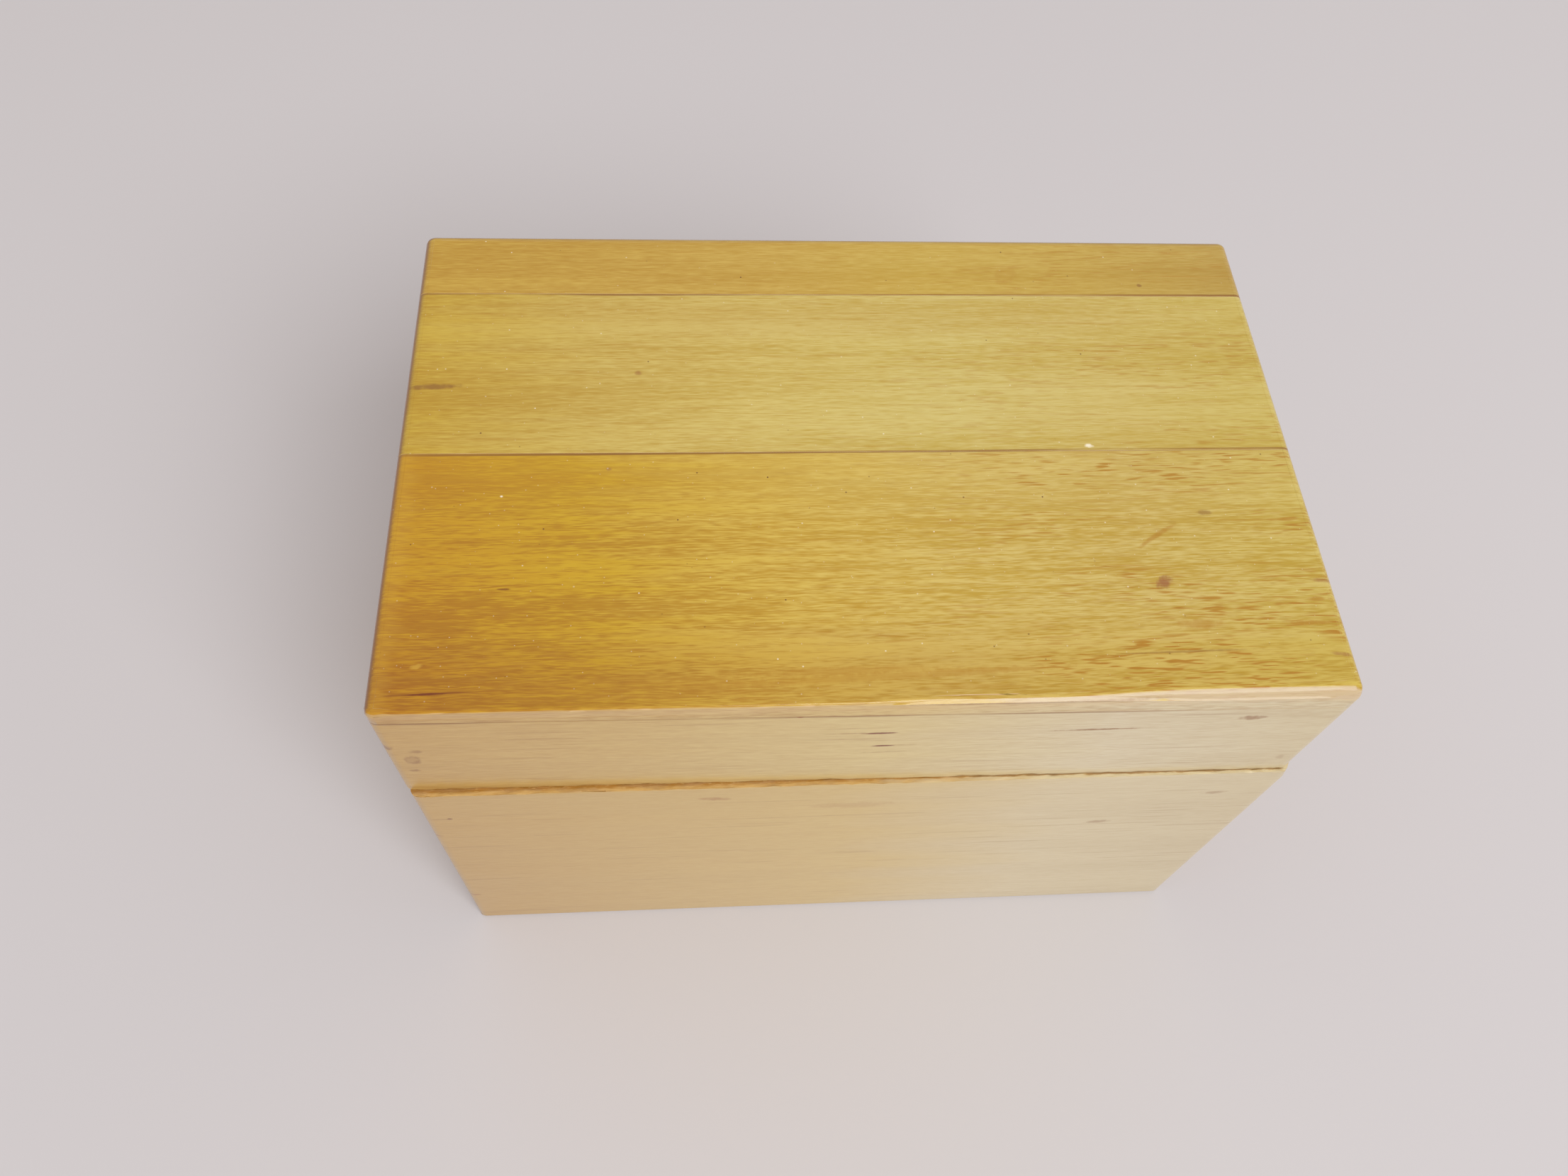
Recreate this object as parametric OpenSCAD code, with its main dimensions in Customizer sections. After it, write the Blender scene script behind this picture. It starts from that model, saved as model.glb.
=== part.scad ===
// Wooden recipe card box. The carcass is glued and bradded up as one closed box,
// then sawn apart into a base and a lid, which swings on two butt hinges at the back.
// The front faces -Y, the right side faces +X and the lid is on top, at +Z.
// The origin is the middle of the base's underside, on the table.

/* [Box] */
// Width of the box, left to right
box_w = 150; // [110:1:260]
// Depth of the box, front to back
box_d = 95.5; // [90:0.5:160]
// Height of the base, from the table to its rim
base_h = 73; // [50:1:140]
// Height of the lid, from its rim to its top
lid_h = 30; // [24:1:60]

/* [Boards] */
// Thickness of the front and back boards
front_t = 8; // [7:0.5:12]
// Thickness of the side boards
side_t = 8; // [6:0.5:12]
// Wood left over a side board's end by the rabbet in the front or back board
lip_t = 3; // [2:0.5:4]
// Thickness of the top boards
top_t = 4.5; // [4:0.5:8]
// Width of the front top board
front_top_w = 46; // [30:1:54]
// Width of the middle top board
middle_top_w = 35; // [20:1:42]
// Thickness of the bottom panel
bottom_t = 5; // [3:0.5:8]
// How far the bottom panel reaches into the boards round it
bottom_seat = 4; // [2:0.5:5]

/* [Edges] */
// Radius of the sanded edges round the top
top_round = 1.7; // [0.5:0.1:3.8]
// Radius of the upright corners
corner_round = 1.6; // [0.4:0.1:2.8]
// Radius of the edges round the underside
foot_round = 0.8; // [0.2:0.1:2]

/* [Lid seat] */
// How far back the closed lid sits on the base
lid_set_back = 0.95; // [0:0.05:1.2]
// How far to the left the closed lid sits on the base
lid_shift = 0.7; // [0:0.05:1.2]
// How far the closed lid is turned on the base, in degrees
lid_skew = 0.25; // [0:0.05:0.5]

/* [Hinges] */
// Length of a hinge
hinge_l = 25; // [20:1:30]
// Distance from the side of the box to the end of a hinge
hinge_inset = 17.5; // [12:0.5:22]
// How far a leaf reaches onto the rim from the back of the base
leaf_in = 6; // [5:0.25:6.5]
// Thickness of a leaf
leaf_t = 0.9; // [0.6:0.1:1.4]
// Gap between the two closed leaves
leaf_gap = 0.2; // [0.1:0.05:0.6]
// Outer diameter of the knuckles
knuckle_d = 3.8; // [3.2:0.1:5]
// Number of knuckles in a hinge, shared by its two leaves
knuckles = 5; // [3:2:7]
// End play between two knuckles
knuckle_play = 0.15; // [0.1:0.05:0.3]
// Gap between a knuckle and what it turns past
knuckle_stand = 0.2; // [0.15:0.05:0.5]
// Diameter of the hinge pin
pin_d = 1.6; // [1:0.1:2]
// Radial clearance of the pin in the lid's knuckles, which turn on it
pin_play = 0.05; // [0.02:0.01:0.1]
// Diameter of the pin's riveted ends
pin_head_d = 2.6; // [2.2:0.1:3]
// Thickness of the pin's riveted ends
pin_head_t = 0.6; // [0.4:0.1:1]
// Gap round a leaf in its mortise
mortise_fit = 0.1; // [0.05:0.05:0.3]

/* [Screws] */
// Diameter of a screw's shank
screw_d = 2.1; // [1.4:0.1:2.6]
// Diameter of a screw's head
screw_head_d = 3.9; // [3:0.1:4.4]
// Length of a screw, with its head
screw_l = 9; // [6:0.5:14]
// Length of a screw's point
screw_point = 2.5; // [1:0.5:4]
// Distance between the two screws of a leaf
screw_pitch = 15; // [10:0.5:16]
// Width of a screw's slot
slot_w = 0.5; // [0.3:0.1:0.8]
// Depth of a screw's slot
slot_depth = 0.45; // [0.2:0.05:0.5]

/* [Brads] */
// Diameter of a brad's shank
brad_d = 1.2; // [0.8:0.1:1.6]
// Diameter of a brad's head
brad_head_d = 1.9; // [1.7:0.1:2.4]
// Thickness of a brad's head
brad_head_t = 0.7; // [0.4:0.1:1]
// Length of a brad's point
brad_point = 1.6; // [1:0.1:3]
// Length of a corner brad
corner_brad_l = 20; // [14:1:30]
// Depth of a corner brad's head under the filled and sanded face
corner_brad_set = 1; // [0.6:0.1:1.2]
// Distance from the side of the box to the corner brads
corner_brad_in = 3.2; // [2.6:0.1:4]
// Distance from the base's underside or rim to its nearest corner brad
base_brad_edge = 11.5; // [9:0.5:16]
// Number of corner brads at each corner of the base
base_brads = 3; // [2:1:4]
// Height of the lid's corner brads above its rim
lid_brad_up = 13.5; // [8:0.5:16]
// Length of a brad in the bottom panel
bottom_brad_l = 14; // [10:1:20]
// Depth of a bottom brad's head in the panel
bottom_brad_sink = 0.3; // [0.1:0.1:1]
// Distance from a corner of the box to its nearest bottom brad
bottom_brad_edge = 22; // [16:1:30]
// Number of brads along the front and along the back of the bottom panel
bottom_brads_long = 3; // [2:1:5]
// Number of brads along each side of the bottom panel
bottom_brads_short = 2; // [2:1:3]

/* [Hidden] */
$fn = 48;

// How far a cut runs past the face that it opens
past = 1;
// Height of the lid's frame of four boards, under the top boards
frame_h = lid_h - top_t;
// Width of the rear top board, which fills what the other two leave
rear_top_w = box_d - front_top_w - middle_top_w;
// Radius of the space that the knuckles turn in
turn_r = knuckle_d / 2 + knuckle_stand;
// Place of the pins' shared axis, level with the rim and clear of the base's back
axis_y = box_d / 2 + turn_r;
// Distance of a hinge's middle from the middle of the box
hinge_x = box_w / 2 - hinge_inset - hinge_l / 2;
// Length of one knuckle's place along the pin
knuckle_l = hinge_l / knuckles;
// Depth of a leaf's mortise in a rim
mortise_depth = leaf_t + leaf_gap / 2;
// Distance from the pin's axis to the line of the screws
screw_y = turn_r + leaf_in / 2;
// Distance of the corner brads from the middle of the box
brad_x = box_w / 2 - corner_brad_in;
// Heights of the base's corner brads
base_brad_step = (base_h - 2 * base_brad_edge) / (base_brads - 1);
base_brad_heights = [for (i = [0 : base_brads - 1]) base_brad_edge + i * base_brad_step];

front_wood = "BurlyWood";
side_wood = "Tan";
top_wood = "Goldenrod";
panel_wood = "Wheat";
hinge_brass = "DarkGoldenrod";
screw_brass = "Gold";
brad_steel = "SlateGray";

// Outlines and sanded blocks

// A rectangle about the origin with round corners
module soft_rectangle(w, d, r) {
    square([w - 2 * r, d], center = true);
    square([w, d - 2 * r], center = true);
    for (x = [-1, 1], y = [-1, 1]) {
        translate([x * (w / 2 - r), y * (d / 2 - r)]) circle(r);
    }
}

// A rectangle that stands on the X axis with round upper corners
module soft_arch(w, h, r) {
    translate([-w / 2, 0]) square([w, h - r]);
    translate([r - w / 2, 0]) square([w - 2 * r, h]);
    for (x = [-1, 1]) translate([x * (w / 2 - r), h - r]) circle(r);
}

// A block of the box's width and depth, sanded round its corners and its upper edges
module sanded_block(h, edge_round) {
    intersection() {
        linear_extrude(h) soft_rectangle(box_w, box_d, corner_round);
        rotate([90, 0, 0]) {
            linear_extrude(box_d + past, center = true) soft_arch(box_w, h, edge_round);
        }
        rotate([90, 0, 90]) {
            linear_extrude(box_w + past, center = true) soft_arch(box_d, h, edge_round);
        }
    }
}

module base_block() {
    translate([0, 0, base_h]) mirror([0, 0, 1]) sanded_block(base_h, foot_round);
}

// Puts what is made on the rim's own plane where the closed lid sits
module on_base() {
    translate([-lid_shift, lid_set_back, base_h]) rotate([0, 0, -lid_skew]) children();
}

// A slab from y0 to y1 over the whole width
module cross_slab(y0, y1, h) {
    translate([-box_w / 2, y0, 0]) cube([box_w, y1 - y0, h]);
}

// The front board's raw shape, rabbeted at both ends for the side boards
module rabbeted_board(h) {
    difference() {
        cross_slab(-box_d / 2, front_t - box_d / 2, h);
        for (x = [-1, 1]) {
            translate([x * (box_w - side_t + past) / 2, lip_t - box_d / 2 + front_t / 2, h / 2]) {
                cube([side_t + past, front_t, h + 2 * past], center = true);
            }
        }
    }
}

// The right board's raw shape, between the front and back boards' lips
module side_board(h) {
    translate([box_w / 2 - side_t, lip_t - box_d / 2, 0]) cube([side_t, box_d - 2 * lip_t, h]);
}

// The front board of a frame of height h, or with side -1 its back board
module end_board(h, side) {
    rotate([0, 0, side > 0 ? 0 : 180]) rabbeted_board(h);
}

// Brads

// A brad along +Z with its head at the origin
module brad(l) {
    cylinder(d = brad_head_d, h = brad_head_t);
    cylinder(d = brad_d, h = l - brad_point);
    translate([0, 0, l - brad_point]) cylinder(d1 = brad_d, d2 = brad_d / 4, h = brad_point);
}

// A corner brad at the height z, in the corner at x = -1 or 1 and front 1 or back -1
module corner_brad(x, front, z) {
    translate([x * brad_x, front * (corner_brad_set - box_d / 2), z]) {
        rotate([front > 0 ? -90 : 90, 0, 0]) brad(corner_brad_l);
    }
}

module base_corner_brads(x, front) {
    for (z = base_brad_heights) corner_brad(x, front, z);
}

module lid_corner_brad(x, front) {
    on_base() corner_brad(x, front, lid_brad_up);
}

module all_base_corner_brads() {
    for (x = [-1, 1], front = [-1, 1]) base_corner_brads(x, front);
}

module all_lid_corner_brads() {
    for (x = [-1, 1], front = [-1, 1]) lid_corner_brad(x, front);
}

// Evenly spaced places along a side of length l, the outer ones in from its ends
function brad_row(l, n) = [for (i = [0 : n - 1])
    bottom_brad_edge - l / 2 + i * (l - 2 * bottom_brad_edge) / (n - 1)];

// Calls its children at every brad of the bottom panel, over the middle of the seat
module at_bottom_brads() {
    for (x = brad_row(box_w, bottom_brads_long), y = [-1, 1]) {
        translate([x, y * (box_d / 2 - front_t + bottom_seat / 2), 0]) children();
    }
    for (y = brad_row(box_d, bottom_brads_short), x = [-1, 1]) {
        translate([x * (box_w / 2 - side_t + bottom_seat / 2), y, 0]) children();
    }
}

module bottom_panel_brads_solids() {
    at_bottom_brads() translate([0, 0, bottom_brad_sink]) brad(bottom_brad_l);
}

// The holes for the bottom brads, open at the underside over their sunk heads
module bottom_brad_holes() {
    bottom_panel_brads_solids();
    at_bottom_brads() translate([0, 0, -past]) {
        cylinder(d = brad_head_d, h = past + bottom_brad_sink + brad_head_t / 2);
    }
}

// Hinges

// Puts what is made about a hinge's pin, with the box at -Y, at the left or right hinge
module at_hinge(x) {
    translate([x * hinge_x, axis_y, base_h]) children();
}

// Turns what is made for the base over to the lid
module facing(lid) {
    if (lid) {
        mirror([0, 0, 1]) children();
    } else {
        children();
    }
}

// Starts of the knuckles' places along the pin, the base's when first is 0, the lid's when 1
function knuckle_starts(first) = [for (i = [first : 2 : knuckles - 1]) i * knuckle_l - hinge_l / 2];

// A cylinder along X from x0
module along_pin(x0, l, r) {
    translate([x0, 0, 0]) rotate([0, 90, 0]) cylinder(r = r, h = l);
}

// A screw along -Z with its head's face on the leaf's face
module screw_shape() {
    translate([0, 0, -mortise_depth]) {
        cylinder(d1 = screw_d, d2 = screw_head_d, h = leaf_t);
    }
    translate([0, 0, screw_point - screw_l]) cylinder(d = screw_d, h = screw_l - screw_point - leaf_t / 2);
    translate([0, 0, -screw_l]) cylinder(d1 = screw_d / 5, d2 = screw_d, h = screw_point);
}

module at_screw(which) {
    translate([which * screw_pitch / 2, -screw_y, 0]) children();
}

// The base leaf: its plate on the mortise floor, and its knuckles round the pin
module leaf(lid) {
    own = lid ? 1 : 0;
    bore = pin_d / 2 + (lid ? pin_play : 0);
    facing(lid) difference() {
        union() {
            translate([-hinge_l / 2, -turn_r - leaf_in, -mortise_depth]) {
                cube([hinge_l, turn_r + leaf_in, leaf_t]);
            }
            for (x0 = knuckle_starts(own)) {
                along_pin(x0 + knuckle_play / 2, knuckle_l - knuckle_play, knuckle_d / 2);
            }
        }
        for (x0 = knuckle_starts(1 - own)) along_pin(x0, knuckle_l, turn_r);
        along_pin(-hinge_l / 2 - past, hinge_l + 2 * past, bore);
        for (which = [-1, 1]) at_screw(which) screw_shape();
    }
}

// A pin held in the base's knuckles, riveted over clear of the leaves at both ends
module pin() {
    reach = hinge_l / 2;
    along_pin(-reach, 2 * reach, pin_d / 2);
    for (side = [-1, 1]) translate([side * reach, 0, 0]) rotate([0, side * 90, 0]) {
        cylinder(d1 = pin_head_d, d2 = pin_head_d / 2, h = pin_head_t);
    }
}

// A screw in the outer (1) or inner (-1) hole of a leaf at the left (-1) or right (1) hinge
module leaf_screw(x, which, lid) {
    at_hinge(x) facing(lid) at_screw(x * which) difference() {
        screw_shape();
        translate([0, 0, -leaf_gap / 2]) cube([slot_w, screw_head_d + past, 2 * slot_depth], center = true);
    }
}

// What one hinge takes out of the wood that its leaf lies on
module hinge_cut(lid) {
    facing(lid) {
        translate([-hinge_l / 2 - mortise_fit, -turn_r - leaf_in - mortise_fit, -mortise_depth]) {
            cube([hinge_l + 2 * mortise_fit, turn_r + leaf_in + past, mortise_depth + past]);
        }
        for (which = [-1, 1]) at_screw(which) screw_shape();
    }
}

// The hollow along the lid's back edge for the knuckles and the pin's ends
module knuckle_hollow() {
    reach = hinge_l / 2 + pin_head_t + knuckle_stand;
    along_pin(-reach, 2 * reach, turn_r);
}

// The base

module panel_space() {
    w = box_w - 2 * (side_t - bottom_seat);
    d = box_d - 2 * (front_t - bottom_seat);
    translate([-w / 2, -d / 2, -past]) cube([w, d, bottom_t + past]);
}

// Cuts a raw board of the base to the sanded block, and takes the panel and the brads out
module base_board() {
    difference() {
        intersection() {
            base_block();
            children();
        }
        panel_space();
        all_base_corner_brads();
        bottom_panel_brads_solids();
    }
}

module base_front_board() color(front_wood) base_board() end_board(base_h, 1);
module base_back_board() color(front_wood) difference() {
    base_board() end_board(base_h, -1);
    for (x = [-1, 1]) at_hinge(x) hinge_cut(false);
}
module base_right_board() color(side_wood) base_board() side_board(base_h);
module base_left_board() color(side_wood) base_board() mirror([1, 0, 0]) side_board(base_h);
module base_bottom_panel() color(panel_wood) difference() {
    intersection() {
        base_block();
        panel_space();
    }
    bottom_brad_holes();
}

// The lid

// Cuts a raw board of the lid to the sanded block and takes the brads and hinges out
module lid_board() {
    difference() {
        on_base() intersection() {
            sanded_block(lid_h, top_round);
            children();
        }
        all_lid_corner_brads();
        for (x = [-1, 1]) at_hinge(x) {
            hinge_cut(true);
            knuckle_hollow();
        }
    }
}

module lid_front_board() color(front_wood) lid_board() end_board(frame_h, 1);
module lid_back_board() color(front_wood) lid_board() end_board(frame_h, -1);
module lid_right_board() color(side_wood) lid_board() side_board(frame_h);
module lid_left_board() color(side_wood) lid_board() mirror([1, 0, 0]) side_board(frame_h);

// One board of the top, from y0 behind the lid's front edge
module top_board(y0, w) {
    color(top_wood) on_base() intersection() {
        sanded_block(lid_h, top_round);
        translate([0, 0, frame_h]) cross_slab(y0 - box_d / 2, y0 + w - box_d / 2, top_t);
    }
}

module lid_top_board_front() top_board(0, front_top_w);
module lid_top_board_middle() top_board(front_top_w, middle_top_w);
module lid_top_board_rear() top_board(front_top_w + middle_top_w, rear_top_w);

// The hinges' own pieces

module left_hinge_base_leaf() color(hinge_brass) at_hinge(-1) leaf(false);
module left_hinge_lid_leaf() color(hinge_brass) at_hinge(-1) leaf(true);
module left_hinge_pin() color(hinge_brass) at_hinge(-1) pin();
module right_hinge_base_leaf() color(hinge_brass) at_hinge(1) leaf(false);
module right_hinge_lid_leaf() color(hinge_brass) at_hinge(1) leaf(true);
module right_hinge_pin() color(hinge_brass) at_hinge(1) pin();

module left_hinge_base_screw_outer() color(screw_brass) leaf_screw(-1, 1, false);
module left_hinge_base_screw_inner() color(screw_brass) leaf_screw(-1, -1, false);
module left_hinge_lid_screw_outer() color(screw_brass) leaf_screw(-1, 1, true);
module left_hinge_lid_screw_inner() color(screw_brass) leaf_screw(-1, -1, true);
module right_hinge_base_screw_outer() color(screw_brass) leaf_screw(1, 1, false);
module right_hinge_base_screw_inner() color(screw_brass) leaf_screw(1, -1, false);
module right_hinge_lid_screw_outer() color(screw_brass) leaf_screw(1, 1, true);
module right_hinge_lid_screw_inner() color(screw_brass) leaf_screw(1, -1, true);

module lid_front_left_brad() color(brad_steel) lid_corner_brad(-1, 1);
module lid_front_right_brad() color(brad_steel) lid_corner_brad(1, 1);
module lid_back_left_brad() color(brad_steel) lid_corner_brad(-1, -1);
module lid_back_right_brad() color(brad_steel) lid_corner_brad(1, -1);
module base_front_left_brads() color(brad_steel) base_corner_brads(-1, 1);
module base_front_right_brads() color(brad_steel) base_corner_brads(1, 1);
module base_back_left_brads() color(brad_steel) base_corner_brads(-1, -1);
module base_back_right_brads() color(brad_steel) base_corner_brads(1, -1);
module bottom_panel_brads() color(brad_steel) bottom_panel_brads_solids();

base_front_board();
base_back_board();
base_left_board();
base_right_board();
base_bottom_panel();
lid_front_board();
lid_back_board();
lid_left_board();
lid_right_board();
lid_top_board_front();
lid_top_board_middle();
lid_top_board_rear();
left_hinge_base_leaf();
left_hinge_lid_leaf();
left_hinge_pin();
right_hinge_base_leaf();
right_hinge_lid_leaf();
right_hinge_pin();
left_hinge_base_screw_outer();
left_hinge_base_screw_inner();
left_hinge_lid_screw_outer();
left_hinge_lid_screw_inner();
right_hinge_base_screw_outer();
right_hinge_base_screw_inner();
right_hinge_lid_screw_outer();
right_hinge_lid_screw_inner();
lid_front_left_brad();
lid_front_right_brad();
lid_back_left_brad();
lid_back_right_brad();
base_front_left_brads();
base_front_right_brads();
base_back_left_brads();
base_back_right_brads();
bottom_panel_brads();
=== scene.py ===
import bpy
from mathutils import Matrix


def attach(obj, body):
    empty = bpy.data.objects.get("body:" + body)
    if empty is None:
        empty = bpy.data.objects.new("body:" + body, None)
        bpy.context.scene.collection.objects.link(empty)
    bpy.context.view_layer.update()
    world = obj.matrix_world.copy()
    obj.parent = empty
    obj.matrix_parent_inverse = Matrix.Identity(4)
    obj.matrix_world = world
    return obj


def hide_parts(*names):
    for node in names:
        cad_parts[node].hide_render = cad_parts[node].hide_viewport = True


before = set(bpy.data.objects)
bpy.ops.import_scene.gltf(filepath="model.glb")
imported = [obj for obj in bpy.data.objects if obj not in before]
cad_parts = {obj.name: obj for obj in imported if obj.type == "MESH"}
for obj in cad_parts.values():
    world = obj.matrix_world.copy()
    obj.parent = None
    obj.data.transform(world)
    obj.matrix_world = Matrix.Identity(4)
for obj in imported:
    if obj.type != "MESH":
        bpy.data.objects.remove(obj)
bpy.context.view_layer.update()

import math

import bmesh
import bpy
from mathutils import Matrix, Vector

# The modelling is in millimetres, with the box's front towards -Y and its underside at 0.
# Each piece is brought down to metres when it is set on its body.
mm = 0.001
touch = 0.01  # a point this near to a face counts as on it

box = {
    "width": 150, "depth": 95.5, "baseHeight": 73, "lidHeight": 30,
    "frontThickness": 8, "sideThickness": 8, "lip": 3, "bottomThickness": 5, "bottomSeat": 4,
    "cornerRound": 1.6, "topRound": 1.7, "footRound": 0.8,
    "grooveRound": 0.12,  # the hairline that shows where two glued boards meet
    "jointRound": 0.1,        # and the one along the lid's upper glue line
    "endKeep": 2,             # plain wood kept at a corner, so that its rounding has room
    "topSeams": (-1.75, 33.25),  # where the lid's three top boards meet, from front to back
}
facets = {"brad": 20, "screw": 32, "rod": 48}  # sides of the round pieces
halfW, halfD = box["width"] / 2, box["depth"] / 2
innerW = halfW - box["sideThickness"]
rimHeight = box["baseHeight"]

lidSeat = {"back": 0.95, "left": 0.7, "turn": -0.25}  # how the closed lid sits off the base's middle
topJoint = {"left": 26.5, "right": 25.15}  # height of the lid's upper glue line over its rim
jointMiddle = (topJoint["left"] + topJoint["right"]) / 2
jointSlope = (topJoint["right"] - topJoint["left"]) / box["width"]


# Modelling helpers

def deselectAll():
    if bpy.context.object and bpy.context.object.mode != "OBJECT":
        bpy.ops.object.mode_set(mode="OBJECT")
    bpy.ops.object.select_all(action="DESELECT")


def takeUp(piece):
    deselectAll()
    piece.select_set(True)
    bpy.context.view_layer.objects.active = piece


def nameIt(piece, name):
    piece.name = piece.data.name = name
    return piece


def newBlock(name, low, high):
    deselectAll()
    middle = [(a + b) / 2 for a, b in zip(low, high)]
    size = [b - a for a, b in zip(low, high)]
    bpy.ops.mesh.primitive_cube_add(size=1, location=middle, scale=size)
    bpy.ops.object.transform_apply()
    return nameIt(bpy.context.object, name)


def openMesh(piece):
    takeUp(piece)
    bpy.ops.object.mode_set(mode="EDIT")


def closeMesh():
    bpy.ops.object.mode_set(mode="OBJECT")


def middleOf(part):
    return sum((v.co for v in part.verts), Vector()) / len(part.verts)


def runsAlong(edge, axis):
    way = edge.verts[1].co - edge.verts[0].co
    return abs(way[axis]) > 0.999 * way.length


def pick(kind, test):
    bpy.ops.mesh.select_mode(type=kind)
    bpy.ops.mesh.select_all(action="DESELECT")
    mesh = bpy.context.edit_object.data
    bm = bmesh.from_edit_mesh(mesh)
    for part in {"EDGE": bm.edges, "FACE": bm.faces}[kind]:
        if test(part):
            part.select_set(True)
    bm.select_flush_mode()
    bmesh.update_edit_mesh(mesh)


def cutAcross(piece, axis, places):
    openMesh(piece)
    way = [0.0, 0.0, 0.0]
    way[axis] = 1.0
    for place in places:
        bpy.ops.mesh.select_all(action="SELECT")
        bpy.ops.mesh.bisect(plane_co=[place * w for w in way], plane_no=way)
    closeMesh()


def splitAlong(piece, axis, low, high, cuts):
    openMesh(piece)
    pick("EDGE", lambda e: runsAlong(e, axis)
         and all(low - touch <= v.co[axis] <= high + touch for v in e.verts))
    bpy.ops.mesh.subdivide(number_cuts=cuts)
    closeMesh()


def finishWith(piece, kind, **settings):
    takeUp(piece)
    modifier = piece.modifiers.new(kind.title(), kind)
    for key, value in settings.items():
        setattr(modifier, key, value)
    bpy.ops.object.modifier_apply(modifier=modifier.name)


def softenEdges(piece, rules, segments=5, widest=None):
    # each rule is a radius, or what gives it for a place, and the test for its edges
    widest = widest or max(radius for radius, test in rules)
    openMesh(piece)
    bm = bmesh.from_edit_mesh(piece.data)
    layer = bm.edges.layers.float.get("bevel_weight_edge") or bm.edges.layers.float.new("bevel_weight_edge")
    for edge in bm.edges:
        middle = middleOf(edge)
        for radius, test in rules:
            if test(edge, middle):
                edge[layer] = (radius(middle) if callable(radius) else radius) / widest
    bmesh.update_edit_mesh(piece.data)
    closeMesh()
    finishWith(piece, "BEVEL", width=widest, limit_method="WEIGHT", segments=segments,
               use_clamp_overlap=False)


def roughen(piece, name, wear, weight):
    # moves the points that weight gives a share to, unevenly where the wear has a grain
    group = piece.vertex_groups.new(name=name)
    for v in piece.data.vertices:
        share = weight(v.co)
        if share > 0:
            group.add([v.index], min(1, share), "REPLACE")
    settings = {"direction": wear.get("way", "Z"), "vertex_group": name}
    if "grain" in wear:
        # the texture's white leaves a point where it is
        texture = bpy.data.textures.new(name, "CLOUDS")
        texture.noise_scale, texture.noise_depth, texture.use_clamp = wear["grain"], 2, True
        texture.contrast, texture.intensity = wear.get("contrast", 1), wear.get("bright", 1)
        bpy.ops.object.empty_add(location=(wear.get("at", 0), 0, 0))
        field = bpy.context.object
        field.scale = (wear["stretch"], 1, 1)
        bpy.context.view_layer.update()
        finishWith(piece, "DISPLACE", texture=texture, texture_coords="OBJECT", texture_coords_object=field,
                   strength=wear["depth"], mid_level=1, **settings)
        bpy.data.objects.remove(field)
    else:
        finishWith(piece, "DISPLACE", strength=-wear["depth"], mid_level=0, **settings)
    piece.vertex_groups.remove(piece.vertex_groups[name])


def copyOf(piece):
    twin = piece.copy()
    twin.data = piece.data.copy()
    bpy.context.scene.collection.objects.link(twin)
    return twin


def combine(piece, other, operation="DIFFERENCE"):
    finishWith(piece, "BOOLEAN", object=other, operation=operation, solver="EXACT")
    bpy.data.objects.remove(other)


def joined(name, parts):
    takeUp(parts[0])
    for part in parts[1:]:
        part.select_set(True)
    bpy.ops.object.join()
    return nameIt(parts[0], name)


def outwards(piece):
    openMesh(piece)
    bpy.ops.mesh.select_all(action="SELECT")
    bpy.ops.mesh.remove_doubles(threshold=0.0005)
    bpy.ops.mesh.normals_make_consistent(inside=False)
    closeMesh()


def turned(name, steps, sides):
    # a lathe shape about Z: a disc, pulled along and resized step by step
    deselectAll()
    radius, z = steps[0]
    bpy.ops.mesh.primitive_circle_add(vertices=sides, radius=radius, fill_type="NGON", location=(0, 0, z))
    bpy.ops.object.transform_apply()
    piece = nameIt(bpy.context.object, name)
    openMesh(piece)
    bpy.ops.mesh.select_all(action="SELECT")
    for nextRadius, nextZ in steps[1:]:
        bpy.ops.mesh.extrude_region_move(TRANSFORM_OT_translate={"value": (0, 0, nextZ - z)})
        share = nextRadius / radius
        bpy.ops.transform.resize(value=(share, share, 1), center_override=(0, 0, nextZ))
        radius, z = nextRadius, nextZ
    closeMesh()
    outwards(piece)
    return piece


def rod(name, x0, x1, radius):
    deselectAll()
    bpy.ops.mesh.primitive_cylinder_add(vertices=facets["rod"], radius=radius, depth=x1 - x0,
                                        location=((x0 + x1) / 2, 0, 0), rotation=(0, math.pi / 2, 0))
    bpy.ops.object.transform_apply()
    return nameIt(bpy.context.object, name)


def placed(piece, move=(0, 0, 0), turn=(0, 0, 0), stretch=(1, 1, 1)):
    takeUp(piece)
    piece.location = move
    piece.rotation_euler = [math.radians(a) for a in turn]
    piece.scale = stretch
    bpy.ops.object.transform_apply()
    if stretch[0] * stretch[1] * stretch[2] < 0:
        outwards(piece)
    return piece


def setDown(piece, body):
    # brought down to metres and set on its body, in place of the node that it is named after
    placed(piece, stretch=(mm, mm, mm))
    bpy.ops.object.shade_smooth_by_angle(angle=math.radians(35))
    finishWith(piece, "WEIGHTED_NORMAL", keep_sharp=True)
    node = piece.name[:piece.name.rindex("_")]
    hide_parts(node)
    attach(piece, body)


# Finishes

class Wire:
    # a socket that sums and products can be written with
    def __init__(self, finish, socket):
        self.finish, self.socket = finish, socket

    def maths(self, operation, first, second):
        return self.finish.node("Math", {"operation": operation}, {0: first, 1: second})

    def __add__(self, other):
        return self.maths("ADD", self, other)

    def __sub__(self, other):
        return self.maths("SUBTRACT", self, other)

    def __rsub__(self, other):
        return self.maths("SUBTRACT", other, self)

    def __mul__(self, other):
        return self.maths("MULTIPLY", self, other)

    def __truediv__(self, other):
        return self.maths("DIVIDE", self, other)

    def __neg__(self):
        return self.maths("SUBTRACT", 0, self)

    def __abs__(self):
        return self.maths("ABSOLUTE", self, 0)

    __radd__, __rmul__ = __add__, __mul__


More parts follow.
